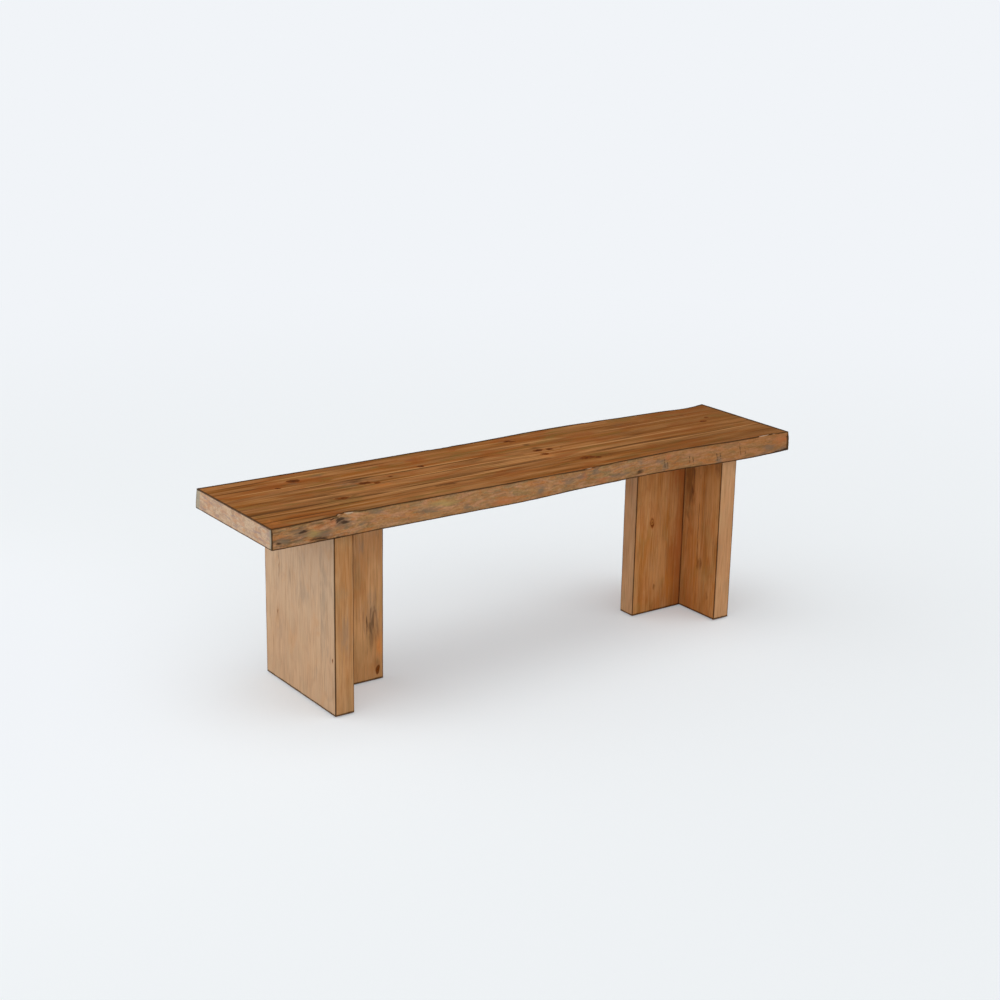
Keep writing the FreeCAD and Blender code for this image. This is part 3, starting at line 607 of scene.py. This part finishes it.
LEGS = [{
    "node": "left_panel_board", "grain": UP_PANEL, "pith": (10, -470), "ring": 3.6, "lean": 0.02,
    "start": 9000, "tone": 1.04,
    "on_face": {"shade": [(88, 273, 26, 1.2)], "smoke": [(-17, 241, 20, 20), (30, 350, 60, 8)]},
}, {
    "node": "left_panel_stave_front", "grain": UP_PANEL, "pith": (-40, -560), "ring": 3.4,
    "start": 12000, "tone": 0.96,
    "on_face": {
        "dark": [(-142, 128, 3.5, 1.6)],
        "smoke": [(-108, 235, 70, 10), (-102, 194, 18, 8), (-98, 135, 26, 2), (-110, 152, 13, 3),
                  (-121, 141, 12, 3), (-133, 131, 11, 3)],
    },
    "other_marks": [((-532, 0, 182), (34, None, 11), "smoke")],  # on its narrow front edge
}, {
    "node": "left_panel_stave_back", "grain": UP_PANEL, "pith": (160, -600), "ring": 3.8,
    "start": 15000, "tone": 1.04,
    "on_face": {"shade": [(96, 166, 10, 2)], "dark": [(96, 164, 3, 1)]},
}, {
    "node": "left_web", "grain": UP_WEB, "pith": (-420, 40), "ring": 3.6, "lean": 0.01,
    "start": 18000, "tone": 1.17,
    "on_face": {
        "scar": [(-391, 145, 26, 9)],
        "smoke": [(-389, 158, 44, 17), (-416, 322, 12, 6)],
        "shade": [(-389, 124, 40, 15), (-377, 42, 14, 6)],
        "crack": [(-403, 147, 24, 0.9)],
        "red": [(-374, 27, 7, 3.5)],
        "glow": [(-371, 80, 26, 11)],
        "blush": [(-384, 30, 16, 8)],
    },
}, {
    "node": "right_panel_board", "grain": UP_PANEL, "pith": (-10, 590), "ring": 3.4, "lean": -0.015,
    "start": 21000, "tone": 1.13,
    "on_face": {
        # The two wide shade marks beside the web under the seat are partly painted shade in that inner
        # corner, partly dark streaks in the wood
        "shade": [(-42, 330, 80, 16), (-46, 300, 60, 6), (-88, 134, 14, 5)],
        "scar": [(-50, 315, 30, 4), (-56, 375, 40, 3)],
        "crack": [(-80, 230, 92, 0.8)],
    },
}, {
    "node": "right_panel_stave_front", "grain": UP_PANEL, "pith": (-100, 620), "ring": 3.4,
    "start": 24000, "tone": 0.98, "pale_edge": 0.3,
    "on_face": {"shade": [(-95, 132, 13, 4), (-124, 58, 11, 3), (-140, 385, 16, 8)]},
}, {
    "node": "right_panel_stave_back", "grain": UP_PANEL, "pith": (150, 590), "ring": 3.6,
    "start": 27000, "tone": 1.0,
    "on_face": {"red": [(120, 260, 9, 7)]},
}, {
    "node": "right_web", "grain": UP_WEB, "pith": (450, 55), "ring": 3.6, "lean": -0.012,
    "start": 30000, "tone": 0.99,
    "on_face": {
        "ring": [(412, 237, 7, 4.5)],
        "dark": [(413, 231, 5, 3)],
        "glow": [(472, 70, 40, 16)],
        "blush": [(492, 156, 60, 18), (486, 366, 34, 22)],
        "shade": [(426, 66, 5, 3)],
    },
    "other_marks": [((360, -6, 335), (46, 12, 5), "smoke")],  # on its narrow inner edge
}]
CLEATS = [
    {"node": node, "grain": ALONG_SEAT, "pith": (0, 330), "ring": 3.4, "start": start, "tone": 1.0}
    for node, start in (("left_cleat_front", 33000), ("left_cleat_back", 33900),
                        ("right_cleat_front", 34800), ("right_cleat_back", 35700))
]


def glued_sides(node):
    """Sides of a board that meet another board in a glue line or under the seat."""
    if node.startswith("seat"):
        return {"seat_board_front": [(Y, 1)], "seat_board_back": [(Y, -1)]}.get(node, [(Y, -1), (Y, 1)])
    if node.endswith("panel_board"):
        return [(Y, -1), (Y, 1), (Z, 1)]
    if node.endswith("web"):
        return [(X, -1 if node.startswith("left") else 1), (Z, 1)]
    return [(Y, 1 if node.endswith("front") else -1), (Z, 1)]


def arris_radius(points, glued):
    """Radius of an arris: tight at a glue line, elsewhere eased by hand and so a little uneven."""
    by_hand = SOFT_ARRIS * (1 + 0.45 * unevenness(points, (60, 60, 60)))

    def radius_of(side, other):
        return np.full(len(points), GLUED_ARRIS) if side in glued or other in glued else by_hand
    return radius_of


def scrape(points, box, glued):
    """Leave the open faces slightly hollowed, as a hand scraper does."""
    hollow = SCRAPED * np.clip(0.5 + 0.5 * unevenness(points, (90, 60, 90)), 0, 1)
    scraped = points.copy()
    for side in SIDES:
        if side not in glued:
            axis, end = side
            on_face = on_side(points, box, side)
            scraped[on_face, axis] -= end * hollow[on_face]
    return scraped


def sapwood_and_sheen(points, box, node):
    """Share of paler sapwood, and of a painted sheen on the faces turned to the left: seat ends, the left
    panel's bark side, most of it high up, narrow edges.
    """
    height = points[:, Z]
    pale_sides = {
        # The seat's left end and the left panel's outer face are paler partly as a painted sheen: light
        # from the left put into their colour
        "seat": {(X, -1): 0.9, (X, 1): 0.5},
        "left_panel": {(X, -1): 0.58 + 0.16 * eased(height, 90, 330), (Y, -1): 0.12, (Y, 1): 0.15},
        "right_panel": {(X, 1): 0.4, (Y, -1): 0.32, (Y, 1): 0.32},
        "left_web": {(X, 1): 0.3, (Y, -1): 0.08 + 0.14 * eased(height, 180, 330)},
        "right_web": {(X, -1): 0.4},
    }
    share = np.zeros(len(points))
    for part, sides in pale_sides.items():
        if node.startswith(part):
            for side, most in sides.items():
                share = np.where(on_side(points, box, side), np.maximum(share, most), share)
    return share


# How far gathered stain reaches in from a side, on the seat furthest from the back and the right end
SEAT_STAIN_REACH = {
    ((Y, BACK), (Z, 1)): 15, ((X, 1), (Z, 1)): 13, ((X, 1), (Y, FRONT)): 13, ((Y, FRONT), (Z, 1)): 7,
}
# Some reaches are wider than the stain itself: underside and foot also paint shade under the natural edge
# and where the legs meet the floor, and the inner corner reach spreads a painted shade across a web
STAIN_REACH = {"seat": 4.5, "underside": 6, "leg": 3.6, "foot": 7.5, "front_stave": 5, "inner_corner_shade": 42}


def gathered_stain(node):
    """How far the stain on a board's arris reaches in from one side across the other."""
    def reach_of(side, across):
        if node.startswith("seat"):
            return SEAT_STAIN_REACH.get((side, across), STAIN_REACH["seat"])
        if (node, side) == ("left_panel_stave_front", (X, -1)):
            return STAIN_REACH["front_stave"]
        return STAIN_REACH["foot" if side == (Z, -1) else "leg"]
    return reach_of


def inner_corner_shade(points, box, node):
    """Mask of a painted shade in the inner corner where a web meets its cross panel: 1 at the joint,
    fading out across the web.
    """
    if not node.endswith("web"):
        return np.zeros(len(points))
    panel_side = (X, -1 if node.startswith("left") else 1)
    return np.clip(1 - depth_from(points, box, panel_side) / STAIN_REACH["inner_corner_shade"], 0, 1)


def darker_towards_right_end_and_foot(points, node):
    """Share of a darker tone: towards the seat's right end and the foot of the left web."""
    if node.startswith("seat"):
        return eased(points[:, X], 0, 700)
    if node == "left_web":
        return 1 - eased(points[:, Z], 15, 175)
    return np.zeros(len(points))


def sawn_ends(points, box, node):
    """1 on a seat board's two end faces."""
    ends = on_side(points, box, (X, -1)) | on_side(points, box, (X, 1))
    return np.where(ends & node.startswith("seat"), 1.0, 0.0)


def board_marks(points, box, node, glued):
    """What a board's material needs to know at each point of the unshaped block."""
    return {
        "arris": nearness_to_arris(points, box, glued, gathered_stain(node)),
        "corner": inner_corner_shade(points, box, node),
        "sap_and_sheen": sapwood_and_sheen(points, box, node),
        "sawn_end": sawn_ends(points, box, node),
        "darker_tone": darker_towards_right_end_and_foot(points, node),
    }


def plank(timber, slot, step):
    """A square-edged board, its mesh lines a step apart."""
    node = timber["node"]
    box = box_mm(node)
    glued = glued_sides(node)
    points, _, quads = board_skin([ruled_lines(box[0][axis], box[1][axis], step) for axis in (X, Y, Z)])
    shaped = ease_arrises(points, box, arris_radius(points, glued))
    shaped = scrape(shaped, box, glued)
    marks = board_marks(points, box, node, glued)
    marks["grain"] = in_trunk(points, timber)
    paler_upwards = 0.7 + 0.6 * eased(points[:, Z], 100, 380)
    marks["edge"] = timber.get("pale_edge", 0.0) * paler_upwards * on_side(points, box, (Y, FRONT))
    new_piece(node + "_pine", shaped, quads, marks, stained_pine(timber), slot, node)


# The natural edges: hollows and gouges as (x, z, half length, half height, depth), and stretches
# of the upper arris that are broken away or worn round as (from x, to x, depth, drop)
HOLLOWS = {
    FRONT: [
        (-552, 445, 13, 8, 4.0), (-596, 414, 28, 7, 2.5), (-36, 430, 12, 9, 1.8), (256, 446, 9, 6, 1.8),
        (322, 436, 18, 6, 1.6), (225, 420, 34, 5, 2.0), (-665, 446, 20, 7, 1.6), (408, 427, 6, 12, 1.2),
        (556, 434, 5, 13, 1.4), (112, 443, 14, 8, 1.6), (-240, 425, 6, 4, 1.0), (489, 419, 8, 9, 1.2),
    ],
    BACK: [
        (-310, 436, 16, 9, 2.6), (260, 428, 26, 7, 1.8), (505, 440, 14, 7, 2.0), (-560, 420, 36, 6, 2.0),
        (90, 415, 22, 6, 1.6), (640, 436, 20, 9, 1.8),
    ],
}
WORN_ARRISES = {
    FRONT: [(-560, -496, 8.0, 6), (82, 134, 2.5, 3), (614, 686, 3.0, 4)],
    BACK: [(-130, -60, 2.0, 4), (330, 372, 2.0, 4)],
}
CHAMFER = 2.4  # the edge is measured this far in, past the chamfer on the solid's arrises
OUTSIDE_SEAT = 300  # in front of or behind both natural edges
LIVE_BOARD_STEPS = (3.5, 7, 2.0)  # between mesh lines along, across and through the board
BARK_RIM = {FRONT: 7, BACK: 22}  # width of the greyer rim on the sawn ends


def natural_wear(points, face):
    """How far the natural edge is worn back at each place in mm, and how much of it was left bare,
    painted pale as bare wood and as a highlight on the worn bevel.
    """
    x, z = points[:, X], points[:, Z]
    spread = np.stack([x, np.full(len(points), 400.0 * face), z], axis=1)
    # Broad waves, sharp small dents and thin layers of wood
    worn = 1.2 * np.clip(0.5 + 0.7 * unevenness(spread, (75, 80, 36)), 0, 1.4)
    worn += 1.0 * np.abs(unevenness(spread, (21, 40, 13)))
    worn += 0.4 * np.clip(0.5 + 0.7 * unevenness(spread, (48, 40, 3.4)), 0, 1)
    if face == BACK:
        # Less worn along the upper arris, and drawn in before the right end
        worn *= 1 - 0.7 * eased(z, SEAT_TOP - 12, SEAT_TOP)
        worn += 5 * np.exp(-((x - 640) / 42) ** 2) - 4 * eased(x, 676, 716)
    for spot_x, spot_z, long, high, depth in HOLLOWS[face]:
        worn += depth * np.exp(-((x - spot_x) / long) ** 2 - ((z - spot_z) / high) ** 2)
    ragged = 1 + 0.5 * unevenness(spread, (11, 40, 6))
    bare_and_highlight = np.zeros(len(points))
    for start, end, depth, drop in WORN_ARRISES[face]:
        here = eased(x, start, start + 10) * (1 - eased(x, end - 16, end))
        slope = np.clip(1 - (SEAT_TOP - z) / drop, 0, 1)
        worn += depth * here * slope * ragged
        # The middle of each worn bevel is painted pale: bare wood, and a painted highlight where the
        # bevel faces up
        bared_and_highlit = eased(slope, 0.45, 0.7) * (1 - eased(slope, 0.86, 1.0))
        bare_and_highlight = np.maximum(bare_and_highlight, here * bared_and_highlit * ragged * (0.55 + 1.4 * unevenness(spread, (26, 40, 3))))
    return worn, np.clip(bare_and_highlight, 0, 1)


def scarring(points, face):
    """Share of dark bark flecks along a natural edge: most of them near the left end of the front."""
    x = points[:, X]
    if face == BACK:
        return np.full(len(points), 0.6)
    return 0.3 + 0.5 * (1 - eased(x, -610, -500)) + 0.15 * eased(x, 40, 140)


def live_edge_board(timber):
    """A seat board with its natural edge, which follows the solid and is then worn back from it."""
    node, face = timber["node"], timber["wane"]
    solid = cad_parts[node].data
    edge_tree = BVHTree.FromPolygons([v.co for v in solid.vertices], [p.vertices for p in solid.polygons])
    box = box_mm(node)
    seam, outside = (box[1][Y], box[0][Y]) if face == FRONT else (box[0][Y], box[1][Y])
    glued = glued_sides(node)
    lines = [ruled_lines(box[0][axis], box[1][axis], step) for axis, step in enumerate(LIVE_BOARD_STEPS)]
    points, lattice, quads = board_skin(lines)

    edge = np.empty((len(lines[X]), len(lines[Z])))
    away = Vector((0, -face, 0))
    for row, x in enumerate(np.clip(lines[X], box[0][X] + CHAMFER, box[1][X] - CHAMFER)):
        for level, z in enumerate(np.clip(lines[Z], SEAT_UNDERSIDE + CHAMFER, SEAT_TOP - CHAMFER)):
            hit = edge_tree.ray_cast(Vector((x, face * OUTSIDE_SEAT, z)) * MM, away)[0]
            edge[row, level] = hit.y / MM
    edge_here = edge[lattice[:, X], lattice[:, Z]]

    shaped = ease_arrises(points, box, arris_radius(points, glued))
    shaped = scrape(shaped, box, glued + [(Y, face)])
    across = (shaped[:, Y] - seam) / (outside - seam)
    worn, bare_and_highlight = natural_wear(shaped, face)
    shaped[:, Y] = seam + (edge_here - seam) * across - face * worn * eased(across, 0.72, 1.0)

    marks = board_marks(points, box, node, glued)
    on_edge = on_side(points, box, (Y, face))
    marks["wane"] = np.where(on_edge, 1.0, 0.0)
    marks["bare_and_highlight"] = np.where(on_edge, bare_and_highlight, 0.0)
    marks["scarred"] = np.where(on_edge, scarring(points, face), 0.0)
    marks["arris"] *= (1 - bare_and_highlight) * np.where(on_edge & (points[:, Z] > SEAT_TOP - 10), 0.6, 1.0)
    # A dark band along the underside of the natural edge, merged into the stain line: painted shade under
    # the seat's edge
    underside_shade = 0.8 * (1 - eased(points[:, Z] - SEAT_UNDERSIDE, 0, STAIN_REACH["underside"]))
    marks["arris"] = np.maximum(marks["arris"], np.where(on_edge, underside_shade, 0.0))
    from_bark = (1 - across) * abs(outside - seam) / BARK_RIM[face]
    marks["rim"] = marks["sawn_end"] * (1 - eased(from_bark, 0.65, 1.25))
    marks["grain"] = in_trunk(shaped, timber)
    new_piece(node + "_pine", shaped, quads, marks, stained_pine(timber), "seat_pine", node)


for timber in (SEAT_FRONT, SEAT_MIDDLE, SEAT_BACK):
    timber.update({"stain": SEAT_STAIN, "line": (0.5, 1.0)})
for timber in LEGS + CLEATS:
    stain = LEFT_STAIN if timber["node"].startswith("left") else RIGHT_STAIN
    timber.update({"stain": stain, "figure": 0.35, "streaky": 0.18, "cast": 0.6, "line": (0.6, 1.1)})
live_edge_board(SEAT_FRONT)
live_edge_board(SEAT_BACK)
plank(SEAT_MIDDLE, "seat_pine", step=8)
for timber in LEGS:
    plank(timber, "pedestal_pine", step=8)
for timber in CLEATS:
    plank(timber, "cleat_pine", step=10)


# Pressed wool felt: a dull grey mat of matted fibres, mottled darker and paler, with a faint fuzz
def pressed_felt():
    material, tree = bare_material("pressed_wool_felt")
    place = add(tree, "TexCoord", out="Object")
    matted = {"Vector": place, "Scale": 1 / (1.6 * MM), "Detail": 4.0, "Distortion": 1.2}
    wool = add(tree, "TexNoise", matted, out="Color")
    wool = add(tree, "SeparateColor", {0: wool}).node.outputs
    colour = coat(tree, linear("#6A655E"), [
        (wool["Red"], 0.45, 0.62, 0.8, linear("#4C4843")),
        (wool["Green"], 0.52, 0.66, 0.6, linear("#857F76")),
    ])
    fuzz = {"Sheen Weight": 0.3, "Sheen Roughness": 0.5}
    finished(tree, colour, 0.95, wool["Red"], 0.6, 0.4, **fuzz)
    return material


# Zinc-plated steel, tumbled: a pale grey metal with a faint blue and straw bloom and fine rub marks
def zinc_plated_steel():
    material, tree = bare_material("zinc_plated_steel")
    place = add(tree, "TexCoord", out="Object")
    bloom = add(tree, "TexNoise", {"Vector": place, "Scale": 1 / (5 * MM), "Detail": 2.0}, out="Color")
    bloom = add(tree, "SeparateColor", {0: bloom}).node.outputs
    rubs = add(tree, "TexNoise", {"Vector": place, "Scale": 1 / (0.7 * MM), "Detail": 4.0})
    colour = coat(tree, linear("#B4B7B7"), [
        (bloom["Red"], 0.45, 0.65, 0.6, linear("#A3ABB4")),
        (bloom["Green"], 0.50, 0.68, 0.5, linear("#BFB699")),
        (rubs, 0.55, 0.70, 0.4, linear("#8C8F90")),
    ])
    finished(tree, colour, (0.28, 0.46), rubs, 0.2, 0.05, Metallic=1.0)
    return material


# Turned brass: warm yellow metal with fine turning lines round each insert
def turned_brass():
    material, tree = bare_material("turned_brass")
    place = add(tree, "TexCoord", out="Object")
    spots = (1 / (6 * MM), 1 / (6 * MM), 1 / (0.5 * MM))
    lines = add(tree, "VectorMath", {0: place, 1: spots}, operation="MULTIPLY")
    turned = add(tree, "TexNoise", {"Vector": lines, "Scale": 1.0, "Detail": 3.0})
    colour = coat(tree, linear("#C29A4B"), [(turned, 0.48, 0.66, 0.7, linear("#9C7430"))])
    finished(tree, colour, (0.22, 0.38), turned, 0.3, 0.1, Metallic=1.0)
    return material


# Planed beech, unfinished: pinkish straw with short dark ray flecks along the grain
def planed_beech(name, grain_axis):
    material, tree = bare_material(name)
    place = add(tree, "TexCoord", out="Object")
    patterns = {"tone": (120, 7), "fleck": (5, 0.9)}
    field = {}
    for pattern, (long, wide) in patterns.items():
        spots = [1 / (long * MM) if axis == grain_axis else 1 / (wide * MM) for axis in (X, Y, Z)]
        stretched = add(tree, "VectorMath", {0: place, 1: spots}, operation="MULTIPLY")
        field[pattern] = add(tree, "TexNoise", {"Vector": stretched, "Scale": 1.0, "Detail": 2.0})
    colour = coat(tree, linear("#CFA878"), [
        (field["tone"], 0.42, 0.62, 0.8, linear("#BE9060")),
        (field["fleck"], 0.58, 0.68, 0.7, linear("#8E6238")),
    ])
    finished(tree, colour, (0.55, 0.7), field["fleck"], 0.2, 0.1)
    return material


# Felt pads under the pedestals
PAD_PLACES = [(-535.5, -121.5), (-535.5, 121.5), (-388, 0), (388, 0), (535.5, -121.5), (535.5, 121.5)]
PAD_HALF = 16
PAD_HEIGHT = 3
PAD_STEP = 2  # between mesh lines
PAD_LINES = (0, 0.3, 0.8, 1.5, 2.5)  # mesh lines beside an upright arris
PAD_LEVELS = (0, 0.25, 0.7, 1.5, 2.3, 2.75, 3.0)
PAD_FUZZ = 0.25  # how far its cut sides are roughened
PAD_SIDE = 3  # and how far in from them


def pad_radius(side, other):
    """Corner radius of a pad: cut corners upright, pressed soft above and below."""
    return 0.9 if Z in (side[0], other[0]) else 2.5


def felt_pads():
    all_points, all_quads = [], []
    count = 0
    for x, y in PAD_PLACES:
        foot, half = np.array((x, y, 0)), np.array((PAD_HALF, PAD_HALF, 0))
        box = [foot - half, foot + half + (0, 0, PAD_HEIGHT)]
        lines = [ruled_lines(box[0][axis], box[1][axis], PAD_STEP, PAD_LINES) for axis in (X, Y)]
        points, _, quads = board_skin(lines + [np.array(PAD_LEVELS)])
        points = ease_arrises(points, box, pad_radius)
        fuzz = PAD_FUZZ * np.clip(0.5 + unevenness(points, (2.2, 2.2, 1.2)), 0, 1)
        inward = np.array((x, y)) - points[:, :2]
        points[:, :2] += np.sign(inward) * (np.abs(inward) > PAD_HALF - PAD_SIDE) * fuzz[:, None]
        all_points.append(points)
        all_quads.append(quads + count)
        count += len(points)
    points, quads = np.concatenate(all_points), np.concatenate(all_quads)
    new_piece("pressed_felt_pads", points, quads, {}, pressed_felt(), "felt", "felt_pads")


felt_pads()

# Hidden joinery and hardware keep the solids' own shapes
steel = zinc_plated_steel()
own_shapes = {
    "cleat_screws": steel,
    "seat_bolts": steel,
    "threaded_inserts": turned_brass(),
    "seat_tongues": planed_beech("planed_beech_along", X),
    "panel_tongues": planed_beech("planed_beech_upright", Z),
    "web_tenons": planed_beech("planed_beech_web_tenons", X),
    "seat_tenons": planed_beech("planed_beech_seat_tenons", Z),
}
for node, material in own_shapes.items():
    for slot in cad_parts[node].material_slots:
        slot.material = material


# Studio: a pale floor, a soft surround that is brightest to the left and above, and a camera
BACKDROP = "#F1F4F8"
FLOOR_REACH = 60  # metres from the bench to each side
FLOOR_GLOW = 0.3  # share of the backdrop's colour that shows in the floor, so its shadows stay pale
SIDE_LAMP = {"place": (-1.9, 0.75, 0.5), "aim": (-0.4, 0.0, 0.25), "size": 1.0, "radiance": 1.6}
# A place on the floor, and the distances from it in metres where the backdrop's colour starts and is full
FLOOR_FADES = [
    ((0, 0, 0), 1.2, 4.5),  # far away from the bench
    ((*SIDE_LAMP["place"][:2], 0), 1.6, 0.8),  # right under the side lamp
]


def shows_background(tree):
    """1 for the rays that meet the background as it looks: straight on, mirrored or through glass."""
    path = add(tree, "LightPath").node.outputs
    seen = add(tree, "Math", {0: path["Is Camera Ray"], 1: path["Is Glossy Ray"]}, operation="MAXIMUM")
    return add(tree, "Math", {0: seen, 1: path["Is Transmission Ray"]}, operation="MAXIMUM")


def pale_floor():
    corners = [(x * FLOOR_REACH, y * FLOOR_REACH, 0) for x, y in ((-1, -1), (1, -1), (1, 1), (-1, 1))]
    mesh = bpy.data.meshes.new("floor")
    mesh.from_pydata(corners, [], [(0, 1, 2, 3)])
    floor = placed("floor", mesh)
    material, tree = bare_material("matt_white_floor")
    matt = add(tree, "BsdfDiffuse", {"Color": linear("#EFF3F5")})
    paper = add(tree, "Emission", {"Color": linear(BACKDROP), "Strength": 1.0})
    place = add(tree, "TexCoord", out="Object")
    glow = FLOOR_GLOW
    for centre, start, full in FLOOR_FADES:
        away = add(tree, "VectorMath", {0: place, 1: centre}, out="Value", operation="DISTANCE")
        limits = {"Value": away, 1: start, 2: full, 3: FLOOR_GLOW, 4: 1.0}
        faded = add(tree, "MapRange", limits, interpolation_type="SMOOTHSTEP")
        glow = add(tree, "Math", {0: faded, 1: glow}, operation="MAXIMUM")
    share = add(tree, "Math", {0: shows_background(tree), 1: glow}, operation="MULTIPLY")
    above = add(tree, "MixShader", {0: share, 1: matt, 2: paper})
    from_below = add(tree, "NewGeometry", out="Backfacing")
    clear = add(tree, "BsdfTransparent")
    add(tree, "OutputMaterial", {0: add(tree, "MixShader", {0: from_below, 1: above, 2: clear})})
    mesh.materials.append(material)


SURROUND = 0.16  # radiance of the room
SOFT_LIGHTS = [  # direction to the middle, angles where the light is full and gone, radiance
    ((0.0, 0.05, 1.0), 6, 28, 1.9),
    ((0.1, -0.9, 0.36), 25, 75, 0.72),
    ((-0.9, 0.3, 0.3), 25, 75, 1.0),
    ((0.9, -0.35, 0.3), 25, 70, 0.5),
    ((0.55, 0.78, 0.25), 20, 55, -0.12),  # a dark screen behind the bench
]


def side_lamp():
    """A square soft lamp close to the left end, which falls off towards the right."""
    lamp = bpy.data.lights.new("side_lamp", "AREA")
    lamp.shape = "SQUARE"
    lamp.size = SIDE_LAMP["size"]
    lamp.energy = SIDE_LAMP["radiance"] * math.pi * SIDE_LAMP["size"] ** 2
    holder = placed("side_lamp", lamp)
    place, aim = Vector(SIDE_LAMP["place"]), Vector(SIDE_LAMP["aim"])
    holder.location = place
    holder.rotation_euler = (aim - place).to_track_quat("-Z", "Y").to_euler()


def studio_light():
    world = bpy.data.worlds.new("studio")
    bpy.context.scene.world = world
    world.use_nodes = True
    tree = world.node_tree
    tree.nodes.clear()
    towards = add(tree, "TexCoord", out="Generated")
    level = SURROUND
    for direction, full, gone, radiance in SOFT_LIGHTS:
        facing = add(tree, "VectorMath", {0: towards, 1: Vector(direction).normalized()}, out="Value",
                     operation="DOT_PRODUCT")
        limits = {1: math.cos(math.radians(gone)), 2: math.cos(math.radians(full)), 3: 0.0, 4: radiance}
        glow = add(tree, "MapRange", {"Value": facing, **limits}, interpolation_type="SMOOTHSTEP")
        level = add(tree, "Math", {0: glow, 1: level}, operation="ADD")
    light = add(tree, "Background", {"Color": linear("#FFFFFF"), "Strength": level})
    backdrop = add(tree, "Background", {"Color": linear(BACKDROP), "Strength": 1.0})
    shader = add(tree, "MixShader", {0: shows_background(tree), 1: light, 2: backdrop})
    add(tree, "OutputWorld", {0: shader})


CAMERA_PLACE = Vector((-2348.35, -3243.74, 1598.55))
CAMERA_RIGHT = Vector((0.81673, -0.57674, 0.01821))
CAMERA_UP = Vector((0.15684, 0.25224, 0.95487))
CAMERA_LENS = 65.36
CAMERA_SENSOR = 36
FARTHEST_SEEN = 200  # metres


def photo_camera():
    camera = placed("camera", bpy.data.cameras.new("camera"))
    back = CAMERA_RIGHT.cross(CAMERA_UP)
    turn = Matrix((CAMERA_RIGHT, CAMERA_UP, back)).transposed()
    camera.matrix_world = Matrix.Translation(CAMERA_PLACE * MM) @ turn.to_4x4()
    camera.data.lens = CAMERA_LENS
    camera.data.sensor_width = CAMERA_SENSOR
    camera.data.clip_end = FARTHEST_SEEN
    bpy.context.scene.camera = camera


pale_floor()
studio_light()
side_lamp()
photo_camera()
bpy.context.scene.view_settings.view_transform = "Standard"
